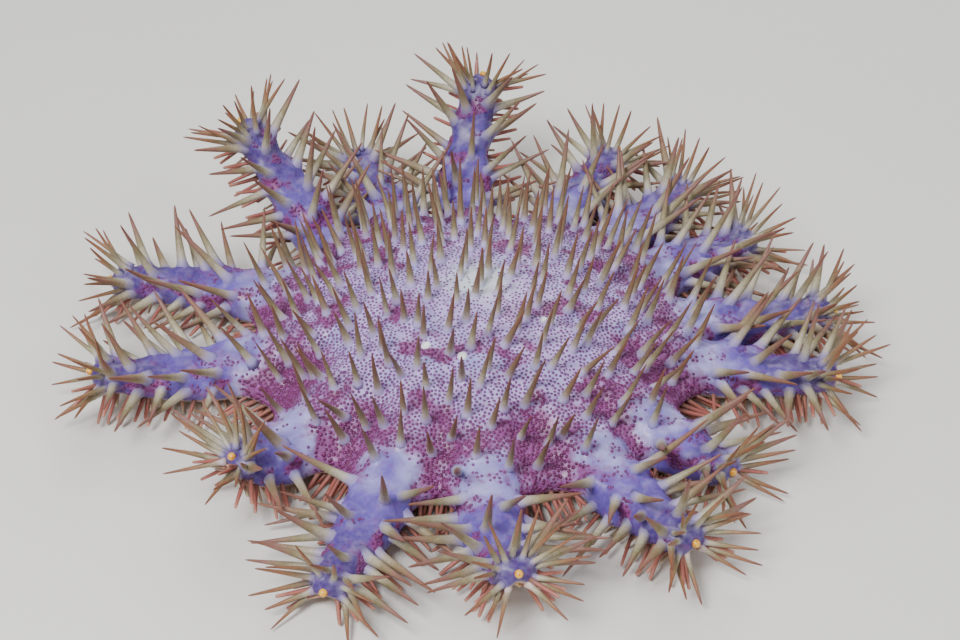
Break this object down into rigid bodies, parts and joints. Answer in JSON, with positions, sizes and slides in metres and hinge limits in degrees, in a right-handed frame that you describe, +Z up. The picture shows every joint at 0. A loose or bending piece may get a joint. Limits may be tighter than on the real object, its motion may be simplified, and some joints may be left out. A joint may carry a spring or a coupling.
{
  "type": "crown of thorns starfish",
  "caption": "Life-size crown of thorns starfish at rest: a domed, spiny disc ringed by short arms with long spines, resting on its underside.",
  "frame": {"origin": "middle of the flat on the underside of the disc, on the floor", "axes": "+Z up through the top of the disc; the picture looks along +Y, and +X is to the right in it"},
  "size_m": [0.1684, 0.1687, 0.0399],
  "materials": {
    "disc_skin": "pale lavender skin with magenta dots, damp sheen",
    "arm_skin": "periwinkle to deep violet skin, damp sheen",
    "papulae": "dark magenta, soft sheen",
    "spines": "pale base, olive shaft and rust-brown tip, satin",
    "oral_spines": "salmon, satin",
    "sieve_plates": "chalky off-white",
    "eyespots": "bright yellow, moist",
    "tube_feet": "pale yellow, moist"
  },
  "bodies": {
    "root": {"disc": "disc_skin", "arm_01": "arm_skin", "arm_02": "arm_skin", "arm_03": "arm_skin", "arm_04": "arm_skin", "arm_05": "arm_skin", "arm_06": "arm_skin", "arm_07": "arm_skin", "arm_08": "arm_skin", "arm_09": "arm_skin", "arm_10": "arm_skin", "arm_11": "arm_skin", "arm_12": "arm_skin", "arm_13": "arm_skin", "arm_14": "arm_skin", "arm_15": "arm_skin"}
  },
  "joints": []
}
